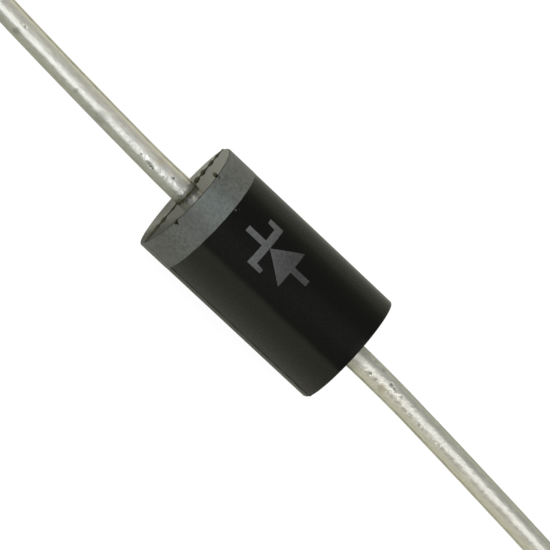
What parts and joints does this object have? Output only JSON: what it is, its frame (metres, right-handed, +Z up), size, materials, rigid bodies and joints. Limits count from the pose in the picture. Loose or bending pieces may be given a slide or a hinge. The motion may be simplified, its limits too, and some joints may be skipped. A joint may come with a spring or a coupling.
{
  "type": "tvs diode",
  "caption": "Axial surge suppressor diode: black moulded cylinder, grey cathode band, and a long tinned wire lead out of each end.",
  "frame": {"origin": "on the surface that the body lies on, under the middle of the moulded body", "axes": "+X along the body from the cathode end to the anode end; +Z up, towards the side that carries the printed mark; the mould's parting line lies in the plane z = 2.555 mm, and the leads leave the body in it"},
  "size_m": [0.061, 0.0052, 0.0051],
  "materials": {
    "epoxy": "black moulding compound, semi-gloss",
    "ink": "grey printing ink, slightly mottled",
    "tinned_wire": "bright drawn wire, tinned",
    "silicon": "polished",
    "solder": "satin",
    "silicone": "matt"
  },
  "bodies": {
    "root": {"moulded_body": "epoxy", "cathode_band": "ink", "cathode_lead": "tinned_wire", "anode_lead": "tinned_wire", "silicon_die": "silicon", "cathode_solder": "solder", "anode_solder": "solder", "junction_coating": "silicone"}
  },
  "joints": []
}
